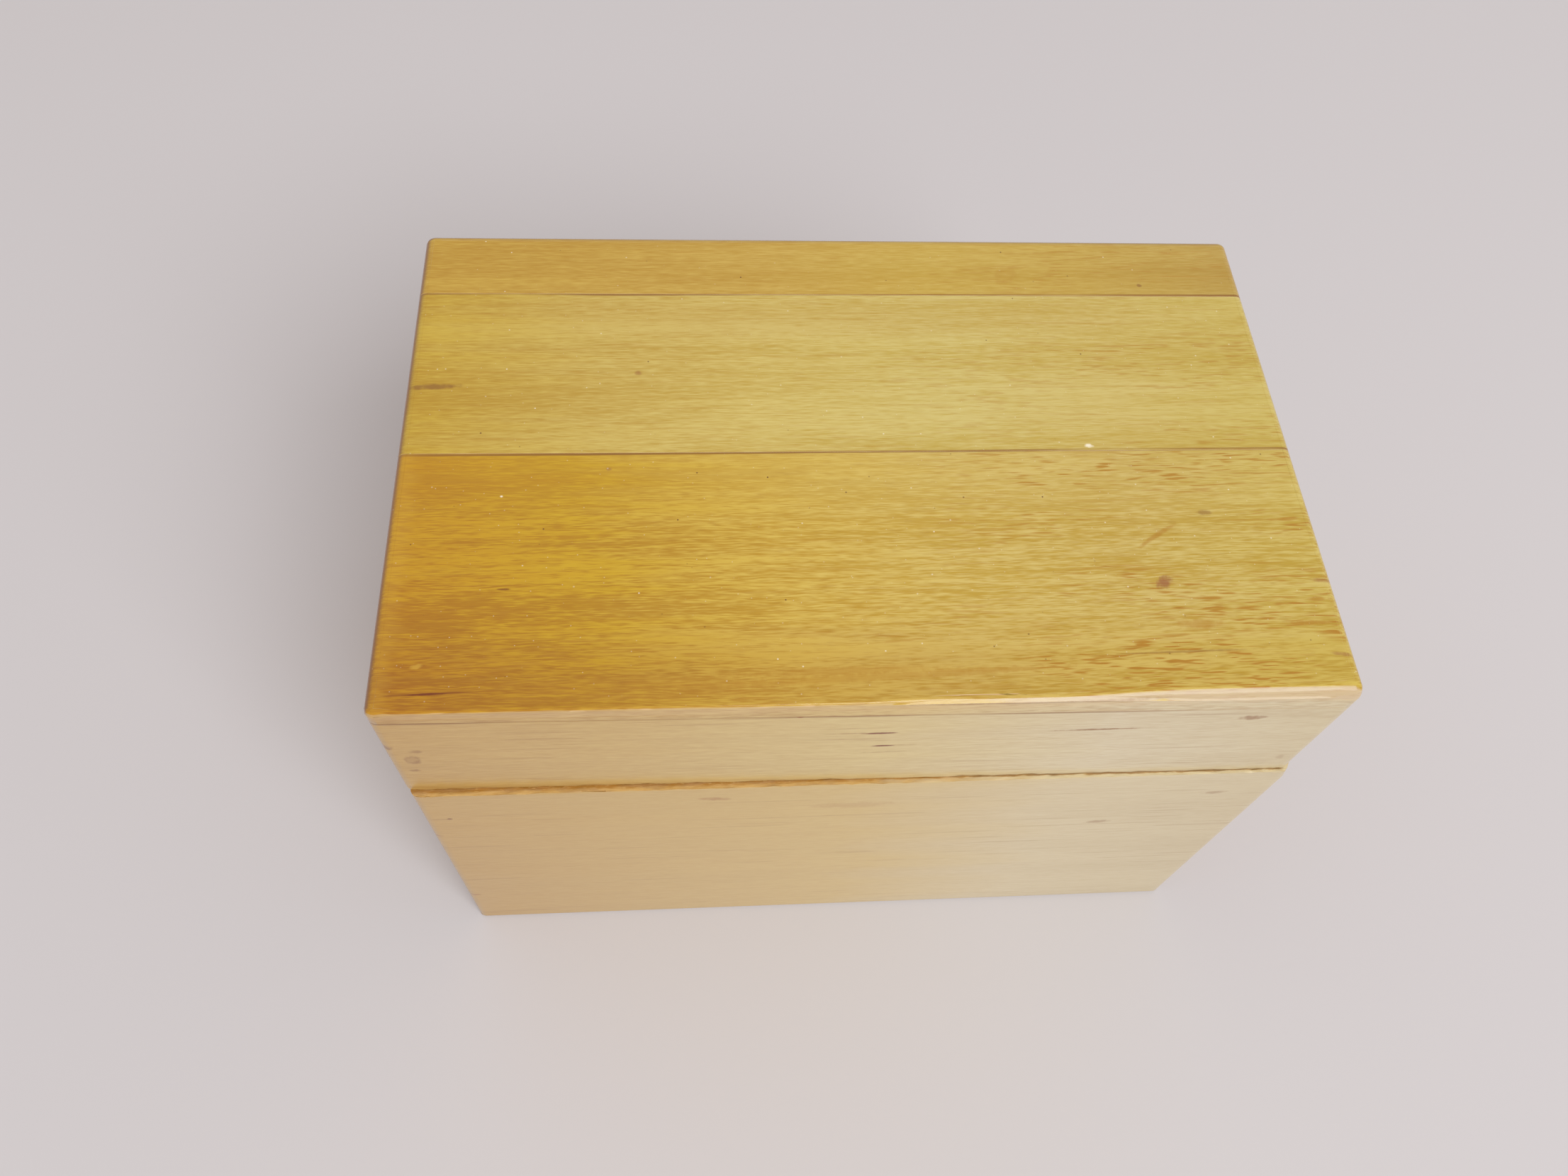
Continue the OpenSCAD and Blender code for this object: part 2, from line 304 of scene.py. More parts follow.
class Finish:
    def __init__(self, name):
        self.material = bpy.data.materials.new(name)
        self.material.use_nodes = True
        self.tree = self.material.node_tree
        self.tree.nodes.clear()
        self.surface = self.tree.nodes.new("ShaderNodeBsdfPrincipled")
        output = self.tree.nodes.new("ShaderNodeOutputMaterial")
        self.tree.links.new(self.surface.outputs["BSDF"], output.inputs["Surface"])
        self.place = self.node("TexCoord", {}, {}, "Object")
        self.place = self.scaled(1 / mm)

    def feed(self, socket, value):
        # a colour may be given by its name in woodTones
        if isinstance(value, Wire):
            self.tree.links.new(value.socket, socket)
        else:
            socket.default_value = woodTones[value] if isinstance(value, str) else value

    def node(self, kind, settings, values, output=0):
        made = self.tree.nodes.new("ShaderNode" + kind)
        for key, value in settings.items():
            if key == "stops":
                ramp = made.color_ramp.elements
                ramp.remove(ramp[1])
                ramp[0].position, ramp[0].color = value[0]
                for at, colour in value[1:]:
                    ramp.new(at).color = colour
            else:
                setattr(made, key, value)
        for key, value in values.items():
            self.feed(made.inputs[key], value)
        return Wire(self, made.outputs[output])

    def scaled(self, share):
        return self.node("VectorMath", {"operation": "SCALE"}, {0: self.place, "Scale": share})

    def split(self, vector):
        return [self.node("SeparateXYZ", {}, {0: vector}, axis) for axis in range(3)]

    def axes(self):
        return self.split(self.place)

    def vector(self, x, y, z):
        return self.node("CombineXYZ", {}, {0: x, 1: y, 2: z})

    def noise(self, vector, detail):
        return self.node("TexNoise", {}, {"Vector": vector, "Scale": 1.0, "Detail": detail})

    def ramp(self, value, low, high):
        return self.node("MapRange", {"interpolation_type": "SMOOTHSTEP"},
                         {"Value": value, "From Min": low, "From Max": high})

    def mix(self, share, under, over, blend="MIX"):
        return self.node("Mix", {"data_type": "RGBA", "blend_type": blend}, {0: share, 6: under, 7: over}, 2)

    def along(self, place, colours):
        # the colours one after the other, at even steps from the box's left end to its right end
        steps = [(n / (len(colours) - 1), paint(*colour)) for n, colour in enumerate(colours)]
        return self.node("ValToRGB", {"stops": steps}, {"Fac": (place + halfW) / box["width"]})

    def dots(self, share, small, large, shift=0.0):
        # scattered dots: about one to each cube with sides of 1 / share millimetres
        place = self.node("VectorMath", {"operation": "ADD"}, {0: self.scaled(share), 1: [shift] * 3})
        reach = self.node("TexVoronoi", {}, {"Vector": place, "Scale": 1.0})
        return 1 - self.ramp(reach, small * share, large * share)

    def bump(self, height, depth):
        # depth is in millimetres for a height of 1
        return self.node("Bump", {}, {"Height": height, "Distance": depth * mm, "Strength": 1.0})

    def finish(self, **values):
        for key, value in values.items():
            self.feed(self.surface.inputs[key.replace("_", " ")], value)
        return self.material


def paint(red, green, blue):
    # a colour as it is read off a screen
    def light(c):
        c /= 255
        return c / 12.92 if c <= 0.04045 else ((c + 0.055) / 1.055) ** 2.4
    return (light(red), light(green), light(blue), 1.0)


woodRamps = {  # a board's tones from its left end to its right end
    "pale": [(188, 151, 84), (198, 167, 104), (205, 178, 116), (210, 194, 156), (203, 187, 148)],
    "lid": [(189, 152, 84), (200, 170, 106), (210, 189, 132), (212, 198, 164), (202, 186, 146)],
    "side": [(206, 176, 122)] * 2,
    "behind": [(200, 168, 110), (206, 180, 128)],
    "bare": [(222, 192, 138)] * 2,
    "frontAmber": [(194, 144, 8), (202, 163, 28), (212, 182, 82), (211, 187, 106), (207, 184, 108),
                   (205, 184, 98)],
    "middleAmber": [(202, 171, 60), (208, 184, 98), (212, 192, 112), (210, 192, 116), (208, 188, 112),
                    (205, 186, 102)],
    "rearAmber": [(203, 168, 68), (205, 172, 78), (206, 175, 86), (207, 180, 90), (202, 174, 87),
                  (192, 163, 83)],
}
woodTones = {name: paint(*tone) for name, tone in {  # what is laid over them
    "paleTint": (222, 205, 188), "bareTint": (222, 200, 172),
    "amberTint": (229, 212, 134), "amberDeep": (222, 199, 124),
    "edgeTint": (226, 202, 140), "edgeTintRight": (242, 228, 144),
    # the first tone here is painted shade for the top boards' rounds turned to the left and to the back
    "outline": (128, 78, 40), "rubbed": (194, 172, 140), "chip": (214, 180, 130),
    "worn": (214, 172, 60), "dash": (175, 124, 26), "crack": (112, 46, 4),
    "rust": (146, 62, 18), "knot": (150, 90, 52), "mark": (138, 92, 34),
    "purple": (160, 110, 54), "glue": (136, 98, 56), "joint": (140, 94, 30),
    "endGrain": (158, 108, 48), "nib": (250, 240, 214), "speck": (92, 48, 20),
    "sawnInner": (196, 158, 104), "sawnAmber": (164, 112, 28), "sawnPale": (200, 160, 92),
    "sawnDeep": (152, 112, 68), "rimPale": (206, 188, 146), "rimLine": (146, 114, 70),
}.items()}
grainStreaks = {  # length and width in millimetres, and detail
    "bend": (90, 30, 1), "broad": (120, 9, 1), "middle": (30, 1.9, 1.5), "fine": (9, 0.5, 1),
    "fibre": (2.6, 0.24, 1), "torn": (5, 0.9, 1), "pores": (2.4, 0.25, 0), "lines": (26, 0.7, 1),
    "dashes": (4.5, 0.42, 1), "crowds": (34, 9, 1),
    "sawnTorn": (2.6, 0.5, 2), "sawnFine": (0.9, 0.2, 1), "sawnPatches": (5, 1.2, 1),
}
cutSteps = (31.7, 13.1, 7.9)  # from one cut's place in the noise to the next one's
plainWood = {"grain": "x", "tones": "pale", "tint": "paleTint", "figure": 0.8, "soft": 0.16, "pores": 0.25,
             "varnished": True, "marks": [], "topMarks": [], "joints": [], "glue": False,
             "amber": None, "amberFigure": 0.85, "edge": 0, "dust": 0.3, "worn": 0,
             "dashes": (-20, 60, 0.35)}  # from where to where in x they grow more, and how much more
varnish = {"Coat_Weight": 1.0, "Coat_Roughness": 0.26, "Coat_IOR": 1.45, "IOR": 1.5,
           "Specular_IOR_Level": 0.2}
topGloss = {"roughness": 0.08, "dull": 0.25, "dullRight": 0.3, "from": 22, "to": 44}


def streaks(f, wood, kind, drift=0.0):
    # noise drawn out along the grain, from wood of the board's own
    x, y, z = f.axes()
    length, width, detail = grainStreaks[kind]
    along, across = (x, y) if wood["grain"] == "x" else (y, x)
    alongCut, acrossCut, downCut = (wood["cut"] * step for step in cutSteps)
    return f.noise(f.vector((along + alongCut) / length, (across + drift + acrossCut) / width,
                            (z + downCut) / width), detail)


def mark(x, across, length, width, strength, tone, turn=0, curve=0, ragged=1.3, core=0, ring=False):
    # a stain with a ragged outline, given by its middle, its half length and its half width
    c, s = math.cos(math.radians(turn)), math.sin(math.radians(turn))

    def addTo(f, colour, down, wobble):
        dx, dy = f.axes()[0] - x, down - across
        u, v = (dx * c + dy * s) / length, (dy * c - dx * s) / width
        v = v - u * u * curve
        reach = u * u + v * v + (wobble - 0.5) * ragged
        share = 1 - f.ramp(reach, core, 1.0)
        if ring:
            share = share * (f.ramp(reach, 0.05, 0.5) * 0.6 + 0.4)
        return f.mix(share * strength, colour, tone)

    return addTo


def woodFinish(name, wood):
    f = Finish(name)
    wood = {**plainWood, **wood}
    x, y, z = f.axes()
    facing = f.split(f.node("NewGeometry", {}, {}, "Normal"))
    bend = streaks(f, wood, "bend") * 1.6
    kinds = ("broad", "middle", "fine", "fibre")
    broad, middle, fine, fibre = (streaks(f, wood, kind, bend) for kind in kinds)
    figure = broad * 0.28 + middle * 0.14 + fine * 0.24 + fibre * 0.34
    tone = f.ramp(figure, 0.5 - wood["soft"], 0.5 + wood["soft"])
    colour = f.along(x + (broad - 0.5) * 30, woodRamps[wood["tones"]])
    colour = f.mix(tone * wood["figure"], colour, wood["tint"], "MULTIPLY")
    if wood["amber"]:
        colour = underAmber(f, wood, colour, amberColour(f, wood, tone, middle, fine, bend), facing)
    pores = f.ramp(streaks(f, wood, "pores"), 0.62, 0.74)
    colour = f.mix(pores * wood["pores"], colour, wood["tint"], "MULTIPLY")
    lines = f.ramp(streaks(f, wood, "lines", bend), 0.64, 0.72)
    colour = f.mix(lines * 0.22, colour, "dash" if wood["amber"] else "mark")
    wobble = f.noise(f.scaled(0.9), 2.0)
    for marks, down in ((wood["marks"], z), (wood["topMarks"], y)):
        for addTo in marks:
            colour = addTo(f, colour, down, wobble)
    for place in wood["joints"]:
        line = 1 - f.ramp(abs(y - place + (middle - 0.5) * 0.5), 0.06, 0.34)
        colour = f.mix(line * (0.3 + 0.65 * f.ramp(middle, 0.35, 0.6)), colour, "joint")
    if wood["glue"]:
        # dark where the glue line is open, and hardly to be seen towards the right
        up = z - (rimHeight + jointMiddle + x * jointSlope)
        line = 1 - f.ramp(abs(up + (middle - 0.5) * 0.3), 0.1, 0.4)
        clear = 1 - f.ramp(x, 25, 62) * 0.75
        dark = 0.15 + f.ramp(middle * 0.5 + broad * 0.5, 0.38, 0.56) * 0.65
        colour = f.mix(line * clear * dark, colour, "glue")
    endFacing = facing[0] if wood["grain"] == "x" else facing[1]
    endShare = f.ramp(abs(endFacing), 0.5, 0.95) * f.ramp(fine * 0.5 + middle * 0.5, 0.3, 0.62)
    colour = f.mix(endShare * 0.55, colour, "endGrain")
    height = fine * 0.6 + fibre * 0.4 + f.noise(f.scaled(0.45), 1.0) * 0.8
    if not wood["varnished"]:
        return f.finish(Base_Color=colour, Roughness=0.62 + fibre * 0.2, Normal=f.bump(height, 0.03))
    coat = dict(varnish)
    if wood["amber"]:
        onRound = f.ramp(-facing[1], 0.1, 0.4) * f.ramp(facing[2], 0.1, 0.3)
        dull = topGloss["dull"] + f.ramp(x, topGloss["from"], topGloss["to"]) * topGloss["dullRight"]
        coat.update(Coat_Roughness=topGloss["roughness"], Coat_Weight=1 - onRound * dull)
    return f.finish(Base_Color=colour, Roughness=0.4 + fibre * 0.16, Normal=f.bump(height, 0.02), **coat)


def amberColour(f, wood, tone, middle, fine, bend):
    # the top's thick yellowed varnish, with what shows in it
    x, y, z = f.axes()
    colour = f.along(x + (middle - 0.5) * 26, woodRamps[wood["amber"]])
    edge = f.ramp((middle - 0.5) * 6 - y, 29, 41) * wood["edge"]
    tint = f.mix(f.ramp(x, 0, 45), "edgeTint", "edgeTintRight")
    colour = f.mix(edge, colour, tint, "MULTIPLY")
    inner = 1 - (1 - f.ramp(-y, 2, 20)) * wood["edge"] * 0.8
    deep = f.mix(f.ramp(x, -50, 20), "amberDeep", "amberTint")
    colour = f.mix(tone * inner * wood["amberFigure"], colour, deep, "MULTIPLY")
    leftEnd = f.ramp((middle - 0.5) * 4 + (fine - 0.5) * 3 - x, 71.0, 73.8)
    colour = f.mix(leftEnd * wood["worn"], colour, "worn")
    crowds = f.ramp(streaks(f, wood, "crowds"), 0.38, 0.56)
    dashes = f.ramp(streaks(f, wood, "dashes", bend), 0.53, 0.7) * crowds
    low, high, amount = wood["dashes"]
    colour = f.mix(dashes * (f.ramp(x, low, high) * amount + edge * 0.7 + 0.16), colour, "dash")
    cluster = f.ramp(f.noise(f.scaled(0.06), 1.0), 0.4, 0.62)
    colour = f.mix(f.dots(0.28, 0.08, 0.2) * cluster * 0.9, colour, "speck")
    colour = f.mix(f.dots(0.62, 0.03, 0.14, 3.1) * wood["dust"], colour, "nib")
    return f.mix(f.dots(0.36, 0.05, 0.2, 7.3) * (1.1 - cluster) * 0.6, colour, "nib")


def underAmber(f, wood, colour, amber, facing):
    # the amber ends raggedly on the rounds, and the pale wood under it has drips and chips
    x, y, z = f.axes()
    torn = streaks(f, wood, "torn")
    drip = f.ramp(z + (torn - 0.5) * 1.6, rimHeight + 27.2, rimHeight + 28.2)
    chips = f.ramp(torn, 0.58, 0.66) * f.ramp(facing[2], 0.03, 0.2) * (1 - f.ramp(facing[2], 0.4, 0.8))
    colour = f.mix(drip * 0.22, colour, "chip")
    colour = f.mix(f.ramp(facing[2] + (torn - 0.5) * 0.6, 0.5, 0.62), colour, amber)
    colour = f.mix(chips * 0.85, colour, "chip")
    # the front's round is rubbed through towards its right end, and the rounds turned to the left and to the
    # back are darkened as painted shade
    rubbed = (f.ramp(x + (torn - 0.5) * 26, 6, 30) * f.ramp(-facing[1], 0.35, 0.6)
              * f.ramp(facing[2], 0.1, 0.3))
    colour = f.mix(rubbed * 0.85, colour, "rubbed")
    farEdgeShade = f.ramp(facing[1] - facing[0], 0.25, 0.8) * f.ramp(facing[2], 0.02, 0.3)
    return f.mix(farEdgeShade * 0.85, colour, "outline")


def sawnFinish(name, grain):
    # a rim as it came off the saw: amber where varnish ran in, made darker as painted shade under the closed
    # lid's edge, pale and torn along the arris
    f = Finish(name)
    x, y, z = f.axes()
    wood = {"grain": grain, "cut": 5}
    torn, fine, patches = (streaks(f, wood, kind) for kind in ("sawnTorn", "sawnFine", "sawnPatches"))
    out, edge = (abs(y), halfD) if grain == "x" else (abs(x), halfW)
    # amber inwards from the arris, where varnish ran in, which also stands in as painted shade under the
    # closed lid's edge
    colour = f.mix(f.ramp(out + (patches - 0.5) * 3, edge - 3.4, edge - 1.2), "sawnInner", "sawnAmber")
    colour = f.mix(f.ramp(out + torn - 0.5, edge - 1.0, edge - 0.3), colour, "sawnPale")
    colour = f.mix(f.ramp(patches * 0.6 + torn * 0.4, 0.45, 0.62) * 0.45, colour, "sawnDeep")
    colour = f.mix(f.ramp(fine, 0.58, 0.72) * 0.5, colour, "sawnPale")
    if grain == "x":
        # at the front, towards the right end, the lid closes over it and only a dark line of painted shade
        # under the lid's foot is left
        lidLine = lidSeat["back"] - halfD + x * math.tan(math.radians(lidSeat["turn"]))
        away = lidLine - y + (torn - 0.5) * 0.7
        front = 1 - f.ramp(y, -1, 1)
        closing = f.ramp(x + (patches - 0.5) * 40, -5, 38) * front
        # a thin band of painted shade just in front of the lid's foot
        line = (1 - f.ramp(away, 0.05, 0.3)) * f.ramp(away, -0.8, -0.3)
        colour = f.mix(closing * f.ramp(away, 0.1, 0.35), colour, "rimPale")
        colour = f.mix(closing * line * 0.8, colour, "rimLine")
        colour = f.mix(f.ramp(x, halfW - 2.4, halfW - 1.4) * front, colour, "rimPale")
    return f.finish(Base_Color=colour, Roughness=0.55 + torn * 0.2, Coat_Weight=0.3, Coat_Roughness=0.35,
                    Normal=f.bump(torn * 0.7 + fine * 0.3, 0.16))


def brassFinish(name, bright):
    f = Finish(name)
    x, y, z = f.axes()
    cloud = f.noise(f.scaled(0.5), 3.0)
    scratch = f.noise(f.vector(x / 3.0, y / 0.12, z / 0.12), 1.0)
    colour = f.mix(f.ramp(cloud, 0.3, 0.8) * 0.45, bright, paint(150, 108, 56))
    return f.finish(Base_Color=colour, Metallic=1.0, Roughness=0.26 + cloud * 0.22 + scratch * 0.08,
                    Normal=f.bump(scratch * 0.5 + cloud, 0.02))


def steelFinish(name):
    f = Finish(name)
    cloud = f.noise(f.scaled(1.3), 2.0)
    colour = f.mix(f.ramp(cloud, 0.5, 0.7), paint(150, 150, 152), paint(112, 96, 82))
    return f.finish(Base_Color=colour, Metallic=1.0, Roughness=0.34 + cloud * 0.2, Normal=f.bump(cloud, 0.02))


def dress(piece, finishes, choose=lambda centre, normal: 0):
    # a face's middle and normal choose which of the finishes it has
    piece.data.materials.clear()
    for finish in finishes:
        piece.data.materials.append(finish)
    for face in piece.data.polygons:
        face.material_index = choose(face.center, face.normal)
    piece.data.update()


sawn = {"x": sawnFinish("sawn_rim", "x"), "y": sawnFinish("sawn_side_rim", "y")}
bareWood = {"tones": "bare", "tint": "bareTint", "varnished": False}
bare = {"x": woodFinish("bare_wood", {"cut": 9, **bareWood}),
        "y": woodFinish("bare_side_wood", {"grain": "y", "cut": 11, **bareWood})}
steel = steelFinish("brad_steel")
brass = brassFinish("aged_brass", paint(196, 158, 84))
screwBrass = brassFinish("screw_brass", paint(206, 168, 92))
print("finishes ready")


# Brads and screws, which are modelled first because the wood closes on them

brad = {"shank": 1.2, "head": 1.9, "headThickness": 0.7, "point": 1.6, "cornerLength": 20, "bottomLength": 14,
        "cornerSet": 1, "cornerIn": 3.2, "baseHeights": [11.5, 36.5, 61.5], "lidHeights": [13.5],
        "bottomSink": 0.3, "bottomX": [-53, 0, 53], "bottomY": [-25.75, 25.75]}
corners = {(x, y): f"{'front' if y < 0 else 'back'}_{'left' if x < 0 else 'right'}"
           for x in (-1, 1) for y in (-1, 1)}


def newBrad(name, length):
    r, h, t = brad["shank"] / 2, brad["head"] / 2, brad["headThickness"]
    taper = brad["point"]
    return turned(name, [(h * 0.8, 0), (h, 0.12), (h, t - 0.1), (h * 0.8, t), (r, t), (r, length - taper),
                         (r * 0.66, length - taper / 2), (r * 0.25, length)], facets["brad"])


def cornerBrads(name, x, y, heights):
    at = [(x * (halfW - brad["cornerIn"]), y * (halfD - brad["cornerSet"]), z) for z in heights]
    return joined(name, [placed(newBrad("brad", brad["cornerLength"]), spot, (y * 90, 0, 0)) for spot in at])


baseBrads, lidBrads = {}, {}
for (x, y), corner in corners.items():
    baseBrads[x, y] = cornerBrads(f"base_{corner}_brads_steel", x, y, brad["baseHeights"])
    lidBrads[x, y] = cornerBrads(f"lid_{corner}_brad_steel", x, y, brad["lidHeights"])
seat = box["frontThickness"] - box["bottomSeat"] / 2
bottomPlaces = [(x, y * (halfD - seat)) for x in brad["bottomX"] for y in (-1, 1)]
bottomPlaces += [(x * (halfW - seat), y) for y in brad["bottomY"] for x in (-1, 1)]
bottomBrads = joined("bottom_panel_brads_steel", [
    placed(newBrad("brad", brad["bottomLength"]), (x, y, brad["bottomSink"])) for x, y in bottomPlaces])
print("brads ready")

hinge = {"length": 25, "centre": 45, "leafIn": 6, "leafThickness": 0.9, "leafGap": 0.2, "knuckle": 3.8,
         "stand": 0.2, "play": 0.15, "knuckles": 5, "pin": 1.6, "pinPlay": 0.05, "pinHead": 2.6,
         "pinEnd": 0.6, "leafCorner": 0.7, "leafEdge": 0.12, "knuckleEdge": 0.15, "fit": 0.1}
screw = {"shank": 2.1, "head": 3.9, "length": 9, "point": 2.5, "pitch": 15, "slot": 0.65, "slotDepth": 0.4,
         "collar": 1.2, "thread": 0.22, "threadPitch": 0.8, "turns": {"outer": 17, "inner": -17, "side": 40}}
halfHinge = hinge["length"] / 2
turnR = hinge["knuckle"] / 2 + hinge["stand"]
axisY = halfD + turnR
mortise = hinge["leafThickness"] + hinge["leafGap"] / 2
screwY = turnR + hinge["leafIn"] / 2
screwTop, screwLow = -hinge["leafGap"] / 2, screw["point"] - screw["length"]


def newScrew(name):
    head, r, thread = screw["head"] / 2, screw["shank"] / 2, screw["shank"] / 2 - screw["thread"]
    z = -mortise - screw["collar"]
    steps = [(head - 0.24, screwTop), (head - 0.08, screwTop - 0.12), (r, -mortise), (r, z)]
    while z > screwLow + screw["threadPitch"]:
        steps += [(thread, z - 0.3), (thread, z - 0.45), (r, z - 0.7), (r, z - screw["threadPitch"])]
        z -= screw["threadPitch"]
    steps += [(r * 0.7, screwLow), (r * 0.45, (screwLow - screw["length"]) / 2), (r * 0.2, -screw["length"])]
    piece = turned(name, steps, facets["screw"])
    half, wide = screw["slot"] / 2, screw["head"]
    combine(piece, newBlock("slot", (-half, -wide, screwTop - screw["slotDepth"]), (half, wide, 1)))
    return piece


def screwHole():
    # the plain room that a screw takes in the wood and in its leaf
    head, r = screw["head"] / 2, screw["shank"] / 2
    return turned("hole", [(head, 0.4), (head, screwTop), (r, -mortise), (r, screwLow),
                           (r * 0.2, -screw["length"])], facets["screw"])


def newLeaf(name, own):
    # built for the base about the pin's axis, with its plate towards -Y
    leaf = newBlock(name, (-halfHinge, -turnR - hinge["leafIn"], -mortise), (halfHinge, 0, screwTop))
    softenEdges(leaf, [(hinge["leafCorner"], lambda e, m: runsAlong(e, 2) and m.y < -turnR),
                       (hinge["leafEdge"], lambda e, m: not runsAlong(e, 2) and m.y < -1)], 4)
    step, play = hinge["length"] / hinge["knuckles"], hinge["play"] / 2
    starts = [n * step - halfHinge for n in range(hinge["knuckles"])]
    for x0 in starts[own::2]:
        knuckle = rod("knuckle", x0 + play, x0 + step - play, hinge["knuckle"] / 2)
        softenEdges(knuckle, [(hinge["knuckleEdge"], lambda e, m: not runsAlong(e, 0))], 3)
        combine(leaf, knuckle, "UNION")
    for x0 in starts[1 - own::2]:
        combine(leaf, rod("space", x0, x0 + step, turnR))
    bore = hinge["pin"] / 2 + hinge["pinPlay"] * own  # the pin is tight in the base's leaf
    combine(leaf, rod("bore", -halfHinge - 1, halfHinge + 1, bore))
    for side in (-1, 1):
        combine(leaf, placed(screwHole(), (side * screw["pitch"] / 2, -screwY, 0)))
    return leaf


def newPin(name):
    # the rounded head at one end, the shank, and the same head at the other end
    head = hinge["pinHead"] / 2
    end = [(head * 0.4, hinge["pinEnd"]), (head * 0.75, 0.5), (head * 0.95, 0.28), (head, 0),
           (hinge["pin"] / 2, 0)]
    steps = [(r, -halfHinge - out) for r, out in end] + [(r, halfHinge + out) for r, out in reversed(end)]
    return placed(turned(name, steps, facets["screw"]), turn=(0, 90, 0))


hingeCuts = {"base": [], "lid": []}
for sideName, x in (("left", -1), ("right", 1)):
    at = (x * hinge["centre"], axisY, rimHeight)
    leafBase = placed(newLeaf(f"{sideName}_hinge_base_leaf_brass", 0), at)
    leafLid = placed(newLeaf(f"{sideName}_hinge_lid_leaf_brass", 1), at, stretch=(1, 1, -1))
    pin = placed(newPin(f"{sideName}_hinge_pin_brass"), at)
    for piece, body in ((leafBase, "base"), (leafLid, "lid"), (pin, "base")):
        dress(piece, [brass])
        setDown(piece, body)
    for body, flip in (("base", 1), ("lid", -1)):
        for place, which in (("outer", 1), ("inner", -1)):
            spot = (at[0] + x * which * screw["pitch"] / 2, axisY - screwY, rimHeight)
            turn = (0, 0, screw["turns"][place] + screw["turns"]["side"] * x)
            piece = placed(newScrew(f"{sideName}_hinge_{body}_screw_{place}_brass"), spot, turn, (1, 1, flip))
            dress(piece, [screwBrass])
            setDown(piece, body)
            hingeCuts[body].append(placed(screwHole(), spot, stretch=(1, 1, flip)))
        low, high = sorted((rimHeight - flip * mortise, rimHeight + flip))
        half = halfHinge + hinge["fit"]
        hingeCuts[body].append(newBlock(
            "mortise", (at[0] - half, axisY - turnR - hinge["leafIn"] - hinge["fit"], low),
            (at[0] + half, axisY + 1, high)))
    reach = halfHinge + hinge["pinEnd"] + hinge["stand"]
    hingeCuts["lid"].append(placed(rod("hollow", -reach, reach, turnR), at))
print("hinges ready")


# The boards of the base and of the lid's frame

frameShape = {"backCuts": 66, "sideCuts": 44}  # how finely the boards are divided along their grain
boardFaces = {"front": (0, -1), "back": (0, 1), "right": (1, 0), "left": (-1, 0)}


def endBoard(name, height, cuts, rows=()):
    # the lip that covers both side boards' ends, and the part between the sides pulled out of it
    board = newBlock(name, (-halfW, -halfD, 0), (halfW, box["lip"] - halfD, height))
    keep = halfW - box["endKeep"]
    cutAcross(board, 0, [-keep, -innerW, innerW, keep])
    splitAlong(board, 0, -innerW, innerW, cuts)
    endCuts = max(1, round(cuts * (keep - innerW) / (2 * innerW)))
    splitAlong(board, 0, -keep, -innerW, endCuts)
    splitAlong(board, 0, innerW, keep, endCuts)
    openMesh(board)
    pick("FACE", lambda f: f.normal.y > 0.9 and abs(middleOf(f).x) < innerW)
    pull = (0, box["frontThickness"] - box["lip"], 0)
    bpy.ops.mesh.extrude_region_move(TRANSFORM_OT_translate={"value": pull})
    closeMesh()
    cutAcross(board, 2, rows)
    return board


def sideBoard(name, height):
    board = newBlock(name, (innerW, box["lip"] - halfD, 0), (halfW, halfD - box["lip"], height))
    splitAlong(board, 1, -halfD, halfD, frameShape["sideCuts"])
    return board


def frameBoards(body, height, cuts, rows):
    # the back board is a front one turned round, and the left one a right one
    boards = {"front": endBoard(f"{body}_front_board_wood", height, cuts, rows),
              "back": endBoard(f"{body}_back_board_wood", height, frameShape["backCuts"]),
              "right": sideBoard(f"{body}_right_board_wood", height),
              "left": sideBoard(f"{body}_left_board_wood", height)}
    for side in ("back", "left"):
        placed(boards[side], turn=(0, 0, 180))
    return boards


def atEnd(m):
    return abs(m.x) > halfW - touch


def atFace(m):
    return abs(m.y) > halfD - touch


def isOuterCorner(e, m):
    return runsAlong(e, 2) and atEnd(m) and atFace(m)


def isGroove(e, m):
    return runsAlong(e, 2) and atEnd(m) and abs(abs(m.y) - (halfD - box["lip"])) < touch


def isFoot(e, m):
    return m.z < touch and (atEnd(m) or atFace(m))


def near(distance, reach):
    return max(0, 1 - abs(distance) / reach)


def eased(place, low, high):
    share = min(1, max(0, (place - low) / (high - low)))
    return share * share * (3 - 2 * share)


def closeOnBrads(board, side, brads):
    x, y = boardFaces[side]
    for (bx, by), piece in brads.items():
        if (x and bx == x) or (y and by == y):
            combine(board, copyOf(piece))


def finishFrame(body, boards, woods, up):
    # varnish outside, the sawn rim on the side that up points to, bare wood inside
    def choose(centre, normal):
        if normal.z * up > 0.75 and abs(centre.z - rimHeight) < 1.0:
            return 1
        insideX = abs(centre.x + lidSeat["left"] / 2) < innerW + 0.6
        return 2 if insideX and abs(centre.y) < halfD - box["frontThickness"] + 1.4 else 0

    for side, board in boards.items():
        grain = woods[side].get("grain", "x")
        dress(board, [woodFinish(f"{body}_{side}_varnished", woods[side]), sawn[grain], bare[grain]], choose)
        setDown(board, body)


# The base

